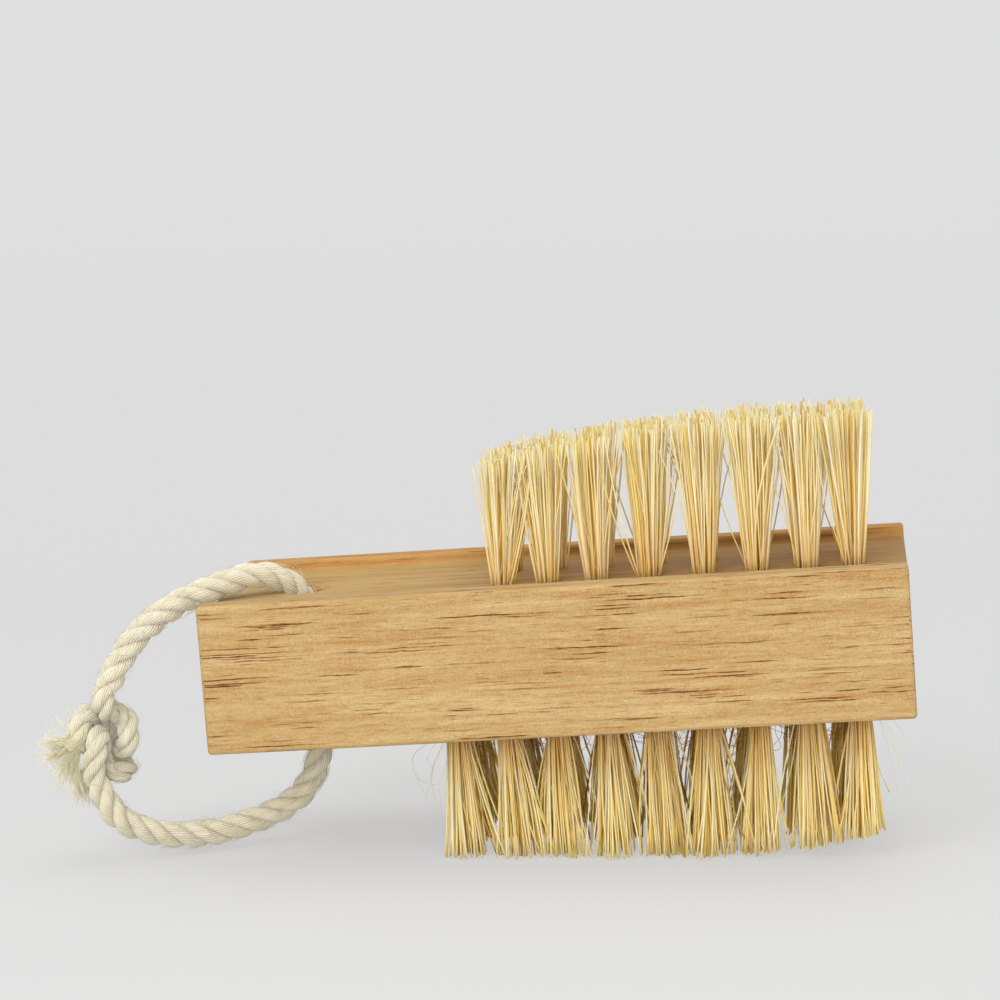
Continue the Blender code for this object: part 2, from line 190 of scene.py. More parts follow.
def laid_strands(line, frames, radius, lay_angle, chance, yarns=12, sides_per_yarn=4):
    """Rings of the three strands round the line, with each yarn's crown and its own shade."""
    hub_share = 0.53
    strand_share = 0.485
    # The yarns turn the other way in each strand, so that outside they run nearly along the rope
    yarn_lay = 1.08
    way, side, other = frames
    run = distance_along(line)
    turning = np.gradient(lay_angle, run)
    hub = hub_share * radius
    sides = yarns * sides_per_yarn
    spin = np.arange(sides) * math.tau / sides
    bulge = np.abs(np.cos(yarns * spin / 2)) ** 0.7
    strands = []
    crowns = []
    shades = []
    for strand in range(3):
        angle = lay_angle + math.tau * strand / 3
        outward = side * np.cos(angle)[:, None] + other * np.sin(angle)[:, None]
        centre = line + hub[:, None] * outward
        strand_way = unit(np.gradient(centre, axis=0))
        outward = unit(outward - strand_way * np.sum(outward * strand_way, axis=1, keepdims=True))
        across = np.cross(strand_way, outward)
        lean = np.sum(strand_way * way, axis=1)
        swell = slow_waves(chance, run, (0.0031, 0.0052, 0.0113), 0.05)
        strand_radius = strand_share * radius * (1.0 + swell)
        yarn_turn = -np.cumsum(
            np.gradient(run) * yarn_lay * radius * turning / (strand_radius * lean))
        turn = yarn_turn[:, None] + spin
        flat = 1.0 - 0.10 * np.cos(turn) ** 2 * (np.cos(turn) > 0)
        plump = np.empty((len(line), yarns))
        shade = np.empty((len(line), yarns))
        for yarn in range(yarns):
            plump[:, yarn] = (
                chance.uniform(-0.03, 0.03) + slow_waves(chance, run, (0.0023, 0.0047), 0.03))
            shade[:, yarn] = (
                chance.uniform(0.25, 0.75) + slow_waves(chance, run, (0.0037, 0.0081), 0.3))
        profile = 0.87 + 0.14 * bulge + np.repeat(plump, sides_per_yarn, axis=1)
        reach = strand_radius[:, None] * flat * profile
        points = centre[:, None, :] + reach[..., None] * (
            np.cos(turn)[..., None] * outward[:, None, :]
            + np.sin(turn)[..., None] * across[:, None, :])
        strands.append(points)
        crowns.append(np.broadcast_to(bulge, points.shape[:2]))
        shades.append(np.repeat(shade, sides_per_yarn, axis=1))
    return strands, np.stack(crowns), np.stack(shades)


def loose_fibres(line, frames, radius, per_metre, chance):
    """Rings of single fibres that have worked out of the cord and lie a little off it."""
    highest_lift = 0.0011
    usual_lift = 0.00034
    _, side, other = frames
    share = np.linspace(0.0, 1.0, fuzz_points)
    paths = []
    radii = []
    for _ in range(round(per_metre * line_length(line))):
        span = chance.randint(6, 16)
        at = np.round(chance.randrange(0, len(line) - span) + span * share)
        at = np.clip(at, 0, len(line) - 1).astype(int)
        angle = chance.uniform(0.0, math.tau) + chance.gauss(0.0, 1.1) * share
        lift = min(highest_lift, abs(chance.gauss(0.0, usual_lift)))
        off = radius[at] * 0.96 + lift * np.sin(0.5 * math.pi * share)
        outward = np.cos(angle)[:, None] * side[at] + np.sin(angle)[:, None] * other[at]
        paths.append(line[at] + off[:, None] * outward)
        radii.append(np.full(fuzz_points, chance.uniform(0.000014, 0.000026)))
    return thin_tubes(np.array(paths), np.array(radii), fuzz_sides, chance)


def node_maker(tree):
    """A function that adds a node to the tree and sets or links its inputs."""
    def add(kind, **settings):
        node = tree.nodes.new(kind)
        inputs = settings.pop("inputs", {})
        for name, value in settings.items():
            setattr(node, name, value)
        for socket, value in inputs.items():
            if hasattr(value, "is_output"):
                tree.links.new(value, node.inputs[socket])
            else:
                node.inputs[socket].default_value = value
        return node
    return add


def new_material(name, roughness, specular):
    material = bpy.data.materials.new(name)
    material.use_nodes = True
    shader = material.node_tree.nodes["Principled BSDF"]
    shader.inputs["Roughness"].default_value = roughness
    shader.inputs["Specular IOR Level"].default_value = specular
    return material, shader, node_maker(material.node_tree)


def colour(red, green, blue):
    """Linear colour from screen values of 0 to 255."""
    levels = [v / 255 for v in (red, green, blue)]
    linear = [v / 12.92 if v <= 0.04045 else ((v + 0.055) / 1.055) ** 2.4 for v in levels]
    return (*linear, 1.0)


def new_group(name, inputs, outputs):
    """An empty shader node group with named colour (C) and value (V) sockets."""
    group = bpy.data.node_groups.new(name, "ShaderNodeTree")
    kinds = {"C": "NodeSocketColor", "V": "NodeSocketFloat"}
    for in_out, sockets in (("INPUT", inputs), ("OUTPUT", outputs)):
        for socket_name, kind in sockets.items():
            group.interface.new_socket(name=socket_name, in_out=in_out, socket_type=kinds[kind])
    add = node_maker(group)
    return group, add, add("NodeGroupInput").outputs


def yarn_colouring_group():
    """Each yarn has its own shade with specks in it, and the hollows between yarns are darkened with
    painted shade.
    """
    group, add, given = new_group(
        "yarn_colouring", {"Pale": "C", "Shaded": "C", "Hollow Shade": "C"}, {"Color": "C", "Fuzz": "V"})
    crown = add("ShaderNodeAttribute", attribute_name="yarn_crown")
    shade = add("ShaderNodeAttribute", attribute_name="yarn_shade")
    place = add("ShaderNodeTexCoord")
    fibres = add("ShaderNodeTexNoise", inputs={
        "Vector": place.outputs["Object"], "Scale": 3200.0, "Detail": 3.0})
    patches = add("ShaderNodeTexNoise", inputs={
        "Vector": place.outputs["Object"], "Scale": 240.0, "Detail": 2.0})
    tone = add("ShaderNodeMath", operation="MULTIPLY_ADD", inputs={
        0: patches.outputs["Fac"], 1: 0.7, 2: -0.35})
    tone = add("ShaderNodeMath", operation="ADD", inputs={
        0: tone.outputs["Value"], 1: shade.outputs["Fac"]})
    speck = add("ShaderNodeMath", operation="MULTIPLY_ADD", inputs={
        0: fibres.outputs["Fac"], 1: 0.8, 2: -0.4})
    tone = add("ShaderNodeMath", operation="ADD", inputs={
        0: tone.outputs["Value"], 1: speck.outputs["Value"]})
    mix = add("ShaderNodeMix", data_type="RGBA", clamp_factor=True, inputs={
        0: tone.outputs["Value"], 6: given["Shaded"], 7: given["Pale"]})
    # Painted shade: the hollows between yarns take the hollow shade colour
    groove_shade = add("ShaderNodeMapRange", inputs={
        "Value": crown.outputs["Fac"], "From Min": 0.0, "From Max": 0.55, "To Min": 0.85, "To Max": 0.0})
    final = add("ShaderNodeMix", data_type="RGBA", inputs={
        0: groove_shade.outputs["Result"], 6: mix.outputs[2], 7: given["Hollow Shade"]})
    add("NodeGroupOutput", inputs={"Color": final.outputs[2], "Fuzz": fibres.outputs["Fac"]})
    return group


yarn_colouring = yarn_colouring_group()


def cotton_material(name, pale, shaded, hollow_shade):
    """Raw cotton yarn, dull and a little fuzzy."""
    material, shader, add = new_material(name, 0.9, 0.15)
    tree = material.node_tree
    shader.inputs["Sheen Weight"].default_value = 0.15
    shader.inputs["Sheen Roughness"].default_value = 0.6
    yarn = add("ShaderNodeGroup", node_tree=yarn_colouring, inputs={
        "Pale": pale, "Shaded": shaded, "Hollow Shade": hollow_shade})
    tree.links.new(yarn.outputs["Color"], shader.inputs["Base Color"])
    bump = add("ShaderNodeBump", inputs={
        "Height": yarn.outputs["Fuzz"], "Strength": 0.5, "Distance": 0.0001})
    tree.links.new(bump.outputs["Normal"], shader.inputs["Normal"])
    return material


cotton = cotton_material(
    "cotton_yarn", pale=colour(206, 202, 186), shaded=colour(193, 185, 157),
    hollow_shade=colour(166, 140, 92))

rope_radius = 0.0020
knot_cord_radius = 0.00172
lay_length = 0.0102
ring_spacing = 0.0002
fuzz_per_metre = 6500
fuzz_points = 6
fuzz_sides = 3
rope_hole_x = -block_half_length + 0.0119
loop_turn = math.radians(26.0)
rope_axes = (brush_axes @ Matrix.Translation((rope_hole_x, 0.0, 0.0))
             @ Matrix.Rotation(math.pi + loop_turn, 4, "Z"))

# Routes of the rope: reach from the hole's axis, offset to the side, height over the lower face
upper_leg_route = (
    (-0.0006, 0.0, 0.0100), (-0.0008, 0.0, 0.0130), (-0.0002, 0.0, 0.0176), (0.0015, 0.0, 0.0204),
    (0.0042, 0.0, 0.0222), (0.0076, 0.0, 0.0228), (0.0114, 0.0, 0.0222), (0.0154, 0.0, 0.0212),
    (0.0190, 0.0, 0.0201), (0.0223, 0.0, 0.0184), (0.0253, 0.0, 0.0162), (0.0278, 0.0, 0.0134),
)
lower_leg_route = (
    (-0.0006, 0.0, 0.0097), (-0.0008, 0.0, 0.0050), (-0.0008, 0.0, 0.0004),
    (-0.0007, 0.0, -0.0032), (0.0002, 0.0, -0.0067), (0.0020, 0.0, -0.0096),
    (0.0048, 0.0, -0.0117), (0.0084, 0.0, -0.0130), (0.0124, 0.0, -0.0138),
    (0.0164, 0.0, -0.0143), (0.0204, 0.0, -0.0141), (0.0244, 0.0, -0.0133),
    (0.0280, 0.0, -0.0118), (0.0309, 0.0, -0.0095),
)
upper_knot_route = (
    (0.0307, 0.0005, 0.0092), (0.0313, 0.0007, 0.0081), (0.0314, 0.0004, 0.0070),
    (0.0309, -0.0007, 0.0059), (0.0297, -0.0020, 0.0053), (0.0285, -0.0025, 0.0047),
    (0.0277, -0.0021, 0.0037), (0.0276, -0.0014, 0.0025), (0.0278, -0.0010, 0.0013),
    (0.0281, -0.0013, 0.0003), (0.0284, -0.0024, -0.0004), (0.0289, -0.0038, -0.0004),
    (0.0295, -0.0048, 0.0004), (0.0302, -0.0052, 0.0018), (0.0311, -0.0050, 0.0033),
    (0.0321, -0.0043, 0.0045), (0.0333, -0.0034, 0.0047), (0.0342, -0.0029, 0.0039),
    (0.0347, -0.0026, 0.0026), (0.0351, -0.0026, 0.0012), (0.0356, -0.0027, -0.0002),
)
lower_knot_route = (
    (0.0333, 0.0001, -0.0043), (0.0336, 0.0004, -0.0029), (0.0336, 0.0009, -0.0013),
    (0.0333, 0.0013, 0.0003), (0.0329, 0.0011, 0.0015), (0.0324, 0.0002, 0.0022),
    (0.0320, -0.0010, 0.0020), (0.0318, -0.0020, 0.0011), (0.0317, -0.0025, -0.0003),
    (0.0316, -0.0028, -0.0018), (0.0310, -0.0028, -0.0030), (0.0301, -0.0022, -0.0037),
    (0.0292, -0.0020, -0.0038), (0.0284, -0.0025, -0.0037), (0.0279, -0.0035, -0.0036),
    (0.0279, -0.0048, -0.0036), (0.0286, -0.0058, -0.0037), (0.0300, -0.0060, -0.0039),
    (0.0316, -0.0056, -0.0040), (0.0331, -0.0049, -0.0043), (0.0346, -0.0042, -0.0050),
)


def lay_cord(side_name, leg_route, knot_route, first_lay, frayed_rings):
    """One half of the rope, from the hole through the knot: its lay runs on from leg to knot.

    The last frayed_rings of the route are left to the loose yarns.
    """
    line = smooth_line([*leg_route, *knot_route], ring_spacing)
    split = int(np.argmin(np.linalg.norm(line - np.array(knot_route[0]), axis=1)))
    run = distance_along(line)
    # The cord gets thinner over its last 2 mm before the knot and its first millimetre in it
    tight = np.clip((run - run[split]) / 0.003 + 0.7, 0.0, 1.0)
    tight = tight * tight * (3.0 - 2.0 * tight)
    radius = rope_radius + (knot_cord_radius - rope_radius) * tight
    lay = first_lay + np.cumsum(np.gradient(run) * math.tau / (lay_length * radius / rope_radius))
    frames = carried_frames(line, (0.0, 1.0, 0.0))
    chance = random.Random("rope " + side_name)
    strands, crowns, shades = laid_strands(line, frames, radius, lay, chance)
    pieces = []
    for part_name, first, last in (("leg", 0, split), ("knot", split, len(line) - 1 - frayed_rings)):
        part = slice(first, last + 1)
        fuzz = loose_fibres(
            line[part], [f[part] for f in frames], radius[part], fuzz_per_metre, chance)
        fuzz_values = np.full(fuzz.shape[0] * fuzz_points * fuzz_sides, 0.8)
        values = {}
        for value_name, numbers in (("yarn_crown", crowns), ("yarn_shade", shades)):
            values[value_name] = np.concatenate([numbers[:, part].ravel(), fuzz_values])
        tubes = [*(rings[part] for rings in strands), *fuzz]
        mesh = tube_mesh(f"{side_name}_cord_{part_name}", tubes, values)
        piece = add_piece(mesh.name, mesh, cotton, rope_axes, "rope")
        pieces.append(piece)
    return line[:split + 1], line[split:], pieces


upper_line, upper_knot_line, (upper_leg, upper_knot) = lay_cord(
    "upper", upper_leg_route, upper_knot_route, first_lay=0.6, frayed_rings=3)
lower_line, lower_knot_line, (lower_leg, lower_knot) = lay_cord(
    "lower", lower_leg_route, lower_knot_route, first_lay=2.2, frayed_rings=3)
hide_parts("rope_upper_leg")
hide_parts("rope_lower_leg")
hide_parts("rope_knot_upper")
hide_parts("rope_knot_lower")


# Frayed ends. Past the knot each end of the cord is cut and has come apart into its yarns, pale
# bunches of fine fibre that fan out, wave a little and droop.
def frayed_end(name, knot_line, bearings, reach, wisps, fibres, unlaid):
    """Bunches of fibres from the end of a knot cord, over a fan of bearings (degrees, up is 90).

    They come out of the cord over its last unlaid metres.
    """
    droop = 0.10
    fray_points = 12
    fray_radii = (0.000022, 0.000044)
    chance = random.Random(name)
    share = np.linspace(0.0, 1.0, fray_points)[:, None]
    paths = []
    radii = []

    def scatter(size):
        return np.array([chance.gauss(0, size) for _ in range(3)])

    for wisp in range(wisps):
        turn = (wisp + chance.random()) / wisps
        bearing = math.radians(bearings[0] + (bearings[1] - bearings[0]) * turn)
        aim = unit(np.array([math.cos(bearing), chance.gauss(0.0, 0.38), math.sin(bearing)]))
        back = round(unlaid * turn / ring_spacing) + 1
        tip = knot_line[-back]
        way = unit(knot_line[-back] - knot_line[-back - 6])
        length = reach * chance.uniform(0.72, 1.05)
        bend = scatter(0.0005)
        offset = scatter(0.0006)
        for _ in range(round(fibres * chance.uniform(0.6, 1.3))):
            root = tip - way * chance.uniform(0.0014, 0.0026) + offset + scatter(0.00028)
            own = length * chance.uniform(0.55, 1.0)
            end = tip + offset + aim * own + scatter(0.00055)
            end[2] -= droop * own
            knee = tip + offset + way * own * 0.30 + aim * own * 0.12 + bend
            path = (1 - share) ** 2 * root + 2 * share * (1 - share) * knee + share ** 2 * end
            phase = chance.uniform(0.0, math.tau)
            swing = scatter(0.00016)
            path = path + swing * np.sin(phase + math.tau * chance.uniform(1.0, 2.2) * share) * share
            paths.append(path)
            radii.append(chance.uniform(*fray_radii) * (1.0 - 0.4 * share[:, 0]))
    tubes = thin_tubes(np.array(paths), np.array(radii), 3, chance)
    shade = np.array([chance.uniform(0.2, 0.9) for _ in paths])
    shades = np.broadcast_to(shade[:, None, None], tubes.shape[:3])
    mesh = tube_mesh(name, tubes, {"yarn_crown": np.ones(tubes.shape[:3]), "yarn_shade": shades})
    piece = add_piece(name, mesh, frayed_cotton, rope_axes, "rope")
    return piece


frayed_cotton = cotton_material(
    "frayed_cotton", pale=colour(228, 223, 194), shaded=colour(220, 211, 168),
    hollow_shade=colour(200, 187, 138))
upper_frays = frayed_end(
    "upper_frays", upper_knot_line, bearings=(-92.0, 26.0), reach=0.0058,
    wisps=24, fibres=32, unlaid=0.0018)
upper_wisps = frayed_end(
    "upper_wisps", upper_knot_line, bearings=(28.0, 72.0), reach=0.0070,
    wisps=4, fibres=12, unlaid=0.0024)
lower_frays = frayed_end(
    "lower_frays", lower_knot_line, bearings=(-110.0, -20.0), reach=0.0044,
    wisps=9, fibres=26, unlaid=0.0010)
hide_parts("rope_end_upper")
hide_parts("rope_end_lower")


# Wooden block. One length of pale, lightly oiled hardwood, planed and sanded, with a channel cut
# along its upper face between two ridges. Its shape is the imported solid's; its grain runs along it,
# with short dark pores. The back ridge is a warmer orange-brown, partly oil and partly painted shade
# on its inner face, and the channel among the tufts is darkened with painted shade.
def wood_material():
    """Tan wood in bands and wisps, with three sizes of pores, a warmer back ridge (oil and painted
    shade) and painted shade among the tufts.
    """
    material, shader, add = new_material("oiled_hardwood", 0.62, 0.12)
    tree = material.node_tree
    rest_place = add("ShaderNodeTexCoord")
    own_place = add("ShaderNodeMapping", vector_type="TEXTURE", inputs={
        "Vector": rest_place.outputs["Object"],
        "Location": tuple(brush_axes.translation), "Rotation": (0.0, -stand_tilt, 0.0)})

    def stretched(size, turn=0.0, offset=(0.0, 0.0, 0.0)):
        """Coordinates in which a mark of the given size (metres) is one unit."""
        node = add("ShaderNodeMapping", inputs={
            "Vector": own_place.outputs["Vector"], "Scale": tuple(1.0 / s for s in size),
            "Rotation": (0.0, turn, 0.0), "Location": offset})
        return node.outputs["Vector"]

    def noise(vector, detail=2.0, roughness=0.5):
        node = add("ShaderNodeTexNoise", inputs={
            "Vector": vector, "Scale": 1.0, "Detail": detail, "Roughness": roughness})
        return node.outputs["Fac"]

    def ranged(value, low, high, to_low=0.0, to_high=1.0):
        node = add("ShaderNodeMapRange", inputs={
            "Value": value, "From Min": low, "From Max": high, "To Min": to_low, "To Max": to_high})
        return node.outputs["Result"]

    def maths(operation, a, b):
        return add("ShaderNodeMath", operation=operation, inputs={0: a, 1: b}).outputs["Value"]

    def blended(share, a, b):
        node = add("ShaderNodeMix", data_type="RGBA", inputs={0: share, 6: a, 7: b})
        return node.outputs[2]

    def pores(size, wander, rarity, offset):
        """Thin streaks along the grain: the middles of stretched cells, of which few are kept."""
        place = stretched(size, math.radians(-1.2), offset)
        bend = add("ShaderNodeTexNoise", inputs={
            "Vector": stretched((0.004, 0.003, 0.003), 0.0, offset), "Scale": 1.0, "Detail": 2.0})
        shift = add("ShaderNodeVectorMath", operation="MULTIPLY_ADD", inputs={
            0: bend.outputs["Color"], 1: (0.0, wander, wander), 2: place})
        cells = add("ShaderNodeTexVoronoi", inputs={"Vector": shift.outputs["Vector"], "Scale": 1.0})
        kept = add("ShaderNodeSeparateColor", inputs={"Color": cells.outputs["Color"]})
        core = ranged(cells.outputs["Distance"], 0.42, 0.10)
        return maths("MULTIPLY", core, ranged(kept.outputs["Red"], rarity, rarity + 0.12))

    bands = noise(stretched((0.045, 0.004, 0.0030)), 3.0)
    wisps = noise(stretched((0.012, 0.0008, 0.0007)), 4.0, 0.6)
    fine = noise(stretched((0.0016, 0.00016, 0.00016)), 2.0)
    speckle = noise(stretched((0.00022, 0.00022, 0.00022)), 2.0)
    tan = blended(ranged(bands, 0.32, 0.68), colour(175, 150, 104), colour(160, 131, 81))
    tan = blended(ranged(wisps, 0.52, 0.74, 0.0, 0.75), tan, colour(156, 106, 50))
    tan = blended(ranged(wisps, 0.50, 0.30, 0.0, 0.50), tan, colour(191, 167, 118))
    tan = blended(ranged(fine, 0.40, 0.75, 0.0, 0.45), tan, colour(148, 108, 62))
    tan = blended(ranged(speckle, 0.58, 0.74, 0.0, 0.60), tan, colour(134, 90, 44))
    tan = blended(ranged(speckle, 0.44, 0.30, 0.0, 0.35), tan, colour(197, 175, 130))

    clusters = ranged(noise(stretched((0.018, 0.004, 0.0035)), 2.0), 0.36, 0.54, 0.45, 1.0)
    long_pores = pores((0.0240, 0.0006, 0.00040), 1.1, 0.54, (2.3, 1.1, 5.7))
    mid_pores = pores((0.0120, 0.0005, 0.00036), 1.0, 0.60, (4.1, 2.3, 1.9))
    short_pores = pores((0.0032, 0.0004, 0.00026), 0.4, 0.62, (7.7, 5.2, 3.4))
    broken = ranged(noise(stretched((0.0014, 0.0005, 0.0005)), 3.0), 0.36, 0.54, 0.40, 1.0)
    halo = maths("MULTIPLY", maths("MAXIMUM", long_pores, mid_pores), clusters)
    halo = maths("MULTIPLY", halo, 0.75)
    tan = blended(maths("MULTIPLY", short_pores, 0.60), tan, colour(132, 84, 38))
    tan = blended(halo, tan, colour(156, 92, 32))
    dark = maths("MAXIMUM", ranged(long_pores, 0.34, 0.70), ranged(mid_pores, 0.38, 0.75, 0.0, 0.9))
    dark = maths("MULTIPLY", maths("MULTIPLY", dark, broken), clusters)
    tan = blended(dark, tan, colour(74, 38, 16))

    # The channel is duller; among the tufts it is browner, which is painted shade; the back ridge is
    # warmer, partly from oil and partly painted shade on its inner face
    spot = add("ShaderNodeSeparateXYZ", inputs={"Vector": own_place.outputs["Vector"]})
    in_channel = maths("MULTIPLY", ranged(spot.outputs["Z"], 0.0205, 0.0199),
                       maths("MULTIPLY", ranged(spot.outputs["Z"], 0.0185, 0.0195),
                             ranged(maths("ABSOLUTE", spot.outputs["Y"], 0.0), 0.0178, 0.0170)))
    tan = blended(maths("MULTIPLY", in_channel, 0.35), tan, colour(176, 144, 78))
    # Warmer orange-brown on the back ridge: partly oil, partly painted shade on its inner face
    back_ridge_oil_and_shade = maths("MULTIPLY", ranged(spot.outputs["Y"], 0.0168, 0.0176),
                          ranged(spot.outputs["Z"], 0.0190, 0.0200))
    tan = blended(maths("MULTIPLY", back_ridge_oil_and_shade, 0.5), tan, colour(172, 118, 48))
    # Painted shade: the channel turns darker brown among the tufts, with a ragged edge
    ragged = maths("ADD", spot.outputs["X"], ranged(bands, 0.3, 0.7, -0.012, 0.012))
    painted_shade_among_tufts = maths("MULTIPLY", ranged(ragged, -0.024, 0.004), in_channel)
    tan = blended(maths("MULTIPLY", painted_shade_among_tufts, 0.5), tan, colour(122, 74, 32))

    tree.links.new(tan, shader.inputs["Base Color"])
    relief = maths("SUBTRACT", maths("MULTIPLY", fine, 0.5), maths("MULTIPLY", dark, 1.2))
    relief = maths("ADD", relief, maths("MULTIPLY", speckle, 0.25))
    bump = add("ShaderNodeBump", inputs={"Height": relief, "Strength": 0.35, "Distance": 0.00015})
    tree.links.new(bump.outputs["Normal"], shader.inputs["Normal"])
    tree.links.new(ranged(dark, 0.0, 1.0, 0.58, 0.8), shader.inputs["Roughness"])
    return material


wood = wood_material()
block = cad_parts["block"]
block.data.materials.clear()
block.data.materials.append(wood)


# Bristle tufts. Each is a pinch of plant-fibre bristles, folded over a wire in a blind hole, packed
# tight at the mouth and spreading evenly to tips that were trimmed after filling.
def bristle_colouring_group():
    """Bristles run from a root shade over straw to pale, streaked; painted shade deepens their roots,
    darkens their feet and dims their tips.
    """
    group, add, given = new_group(
        "bristle_colouring",
        {"Root": "C", "Straw": "C", "Pale": "C", "Foot Shade": "C", "Tip Shade": "V"}, {"Color": "C"})
    tone = add("ShaderNodeAttribute", attribute_name="tone").outputs["Fac"]
    along = add("ShaderNodeAttribute", attribute_name="along").outputs["Fac"]
    place = add("ShaderNodeTexCoord")
    streak_place = add("ShaderNodeMapping", inputs={
        "Vector": place.outputs["Object"], "Scale": (6000.0, 6000.0, 350.0)})
    streaks = add("ShaderNodeTexNoise", inputs={
        "Vector": streak_place.outputs["Vector"], "Scale": 1.0, "Detail": 2.0})
    streak = add("ShaderNodeMath", operation="MULTIPLY_ADD", inputs={
        0: streaks.outputs["Fac"], 1: 0.35, 2: -0.17})
    toned = add("ShaderNodeMath", operation="ADD", inputs={0: tone, 1: streak.outputs["Value"]})
    to_straw = add("ShaderNodeMapRange", inputs={
        "Value": toned.outputs["Value"], "From Min": 0.05, "From Max": 0.40})
    to_pale = add("ShaderNodeMapRange", inputs={
        "Value": toned.outputs["Value"], "From Min": 0.40, "From Max": 0.95})
    shade = add("ShaderNodeMix", data_type="RGBA", inputs={
        0: to_straw.outputs["Result"], 6: given["Root"], 7: given["Straw"]})
    shade = add("ShaderNodeMix", data_type="RGBA", inputs={
        0: to_pale.outputs["Result"], 6: shade.outputs[2], 7: given["Pale"]})
    # Painted shade: towards the root each bristle takes more of the root colour
    painted_root_shade = add("ShaderNodeMapRange", inputs={
        "Value": along, "From Min": 0.0, "From Max": 0.30, "To Min": 0.35, "To Max": 0.0})
    shade = add("ShaderNodeMix", data_type="RGBA", inputs={
        0: painted_root_shade.outputs["Result"], 6: shade.outputs[2], 7: given["Root"]})
    # Painted shade: the feet are multiplied by the foot shade colour, fading out by half way up
    foot = add("ShaderNodeMapRange", inputs={
        "Value": along, "From Min": 0.08, "From Max": 0.5, "To Min": 1.0, "To Max": 0.0})
    shade = add("ShaderNodeMix", data_type="RGBA", blend_type="MULTIPLY", inputs={
        0: foot.outputs["Result"], 6: shade.outputs[2], 7: given["Foot Shade"]})
    # Painted shade: the tips are dimmed to the tip shade level
    tip = add("ShaderNodeMapRange", inputs={
        "Value": along, "From Min": 0.6, "From Max": 1.0, "To Min": 1.0, "To Max": given["Tip Shade"]})
    final = add("ShaderNodeVectorMath", operation="SCALE", inputs={
        0: shade.outputs[2], "Scale": tip.outputs["Result"]})
    add("NodeGroupOutput", inputs={"Color": final.outputs["Vector"]})
    return group


bristle_colouring = bristle_colouring_group()


def fibre_material(name, root_shade, straw, pale, passed_light, foot_shade, tip_shade):
    """Plant-fibre bristle. Light that has gone through one comes out a little warmer."""
    material, shader, add = new_material(name, 0.5, 0.3)
    tree = material.node_tree
    bristle = add("ShaderNodeGroup", node_tree=bristle_colouring, inputs={
        "Root": root_shade, "Straw": straw, "Pale": pale,
        "Foot Shade": foot_shade, "Tip Shade": tip_shade})
    tree.links.new(bristle.outputs["Color"], shader.inputs["Base Color"])
    warmed = add("ShaderNodeMix", data_type="RGBA", blend_type="MULTIPLY", inputs={
        0: 1.0, 6: bristle.outputs["Color"], 7: passed_light})
    glowing = add("ShaderNodeBsdfTranslucent", inputs={"Color": warmed.outputs[2]})
    lit_through = add("ShaderNodeMixShader", inputs={
        0: 0.55, 1: shader.outputs["BSDF"], 2: glowing.outputs["BSDF"]})
    tree.links.new(lit_through.outputs["Shader"], tree.nodes["Material Output"].inputs["Surface"])
    return material


upper_fibre = fibre_material(
    "plant_fibre_upper", root_shade=colour(233, 197, 96), straw=colour(254, 240, 172),
    pale=colour(255, 254, 242), passed_light=colour(255, 251, 236),
    foot_shade=colour(255, 246, 220), tip_shade=0.90)
lower_fibre = fibre_material(
    "plant_fibre_lower", root_shade=colour(202, 152, 52), straw=colour(254, 237, 150),
    pale=colour(255, 254, 232), passed_light=colour(255, 248, 218),
    foot_shade=colour(244, 220, 166), tip_shade=1.0)

tuft_radius = 0.00144
hole_filling_radius = 0.00168
foot_depth = 0.0010
buried_length = 0.0016
bristles_per_tuft = 90
bristle_radii = (0.00010, 0.00018)
rim_fibres = 30
rim_fibre_radius = 0.00019
stray_share = 0.11
stray_drift = (0.0014, 0.0046)
golden_angle = 2.39996
first_column_x = -0.006
last_column_x = 0.040
hair_points = 8
hair_sides = 4


def bristle_paths(seat, up, trim, fan, lean, chance):
    """Centrelines and radii of one tuft's bristles, in the brush's axes."""
    share = np.linspace(0.0, 1.0, hair_points)
    count = bristles_per_tuft
    paths = np.empty((count + rim_fibres, hair_points, 3))
    radii = np.full((count + rim_fibres, hair_points), rim_fibre_radius)
    for i in range(count):
        out = math.sqrt((i + 0.5) / count)
        angle = golden_angle * i + chance.uniform(-0.25, 0.25)
        root = np.array([math.cos(angle), math.sin(angle)]) * out * tuft_radius
        tip = root * fan / tuft_radius * chance.uniform(0.86, 1.10)
        tip += np.array([chance.gauss(0, 0.00055), chance.gauss(0, 0.00055)]) + np.array(lean)
        bow = np.array([chance.gauss(0, 0.00024), chance.gauss(0, 0.00024)])
        if chance.random() < stray_share:
            drift = chance.uniform(*stray_drift) * chance.choice((-1, 1))
            # The end columns have no neighbour to lean across on their free side
            if seat[0] < first_column_x:
                drift = abs(drift)
            elif seat[0] > last_column_x:
                drift = -abs(drift)
            tip += np.array([drift, chance.uniform(-0.0012, 0.0012)])
            bow += np.array([drift * chance.uniform(-0.3, 0.3), 0.0])
        length = trim(seat[0] + tip[0], chance)
        spread = share ** 1.04
        wave = np.sin(math.pi * share)
        paths[i, :, 0] = seat[0] + root[0] + (tip[0] - root[0]) * spread + bow[0] * wave
        paths[i, :, 1] = seat[1] + root[1] + (tip[1] - root[1]) * spread + bow[1] * wave
        paths[i, :, 2] = seat[2] + up * (-buried_length + (length + buried_length) * share)
        radii[i] = chance.uniform(*bristle_radii) * (1.0 - 0.20 * share)
    # Cut-off fibres fill the hole round the bundle, up to its mouth
    for i in range(rim_fibres):
        angle = math.tau * i / rim_fibres
        paths[count + i, :, 0] = seat[0] + hole_filling_radius * math.cos(angle)
        paths[count + i, :, 1] = seat[1] + hole_filling_radius * math.sin(angle)
        paths[count + i, :, 2] = seat[2] - up * (0.00008 * chance.random() + 0.0012 * (1.0 - share))
    return paths, radii


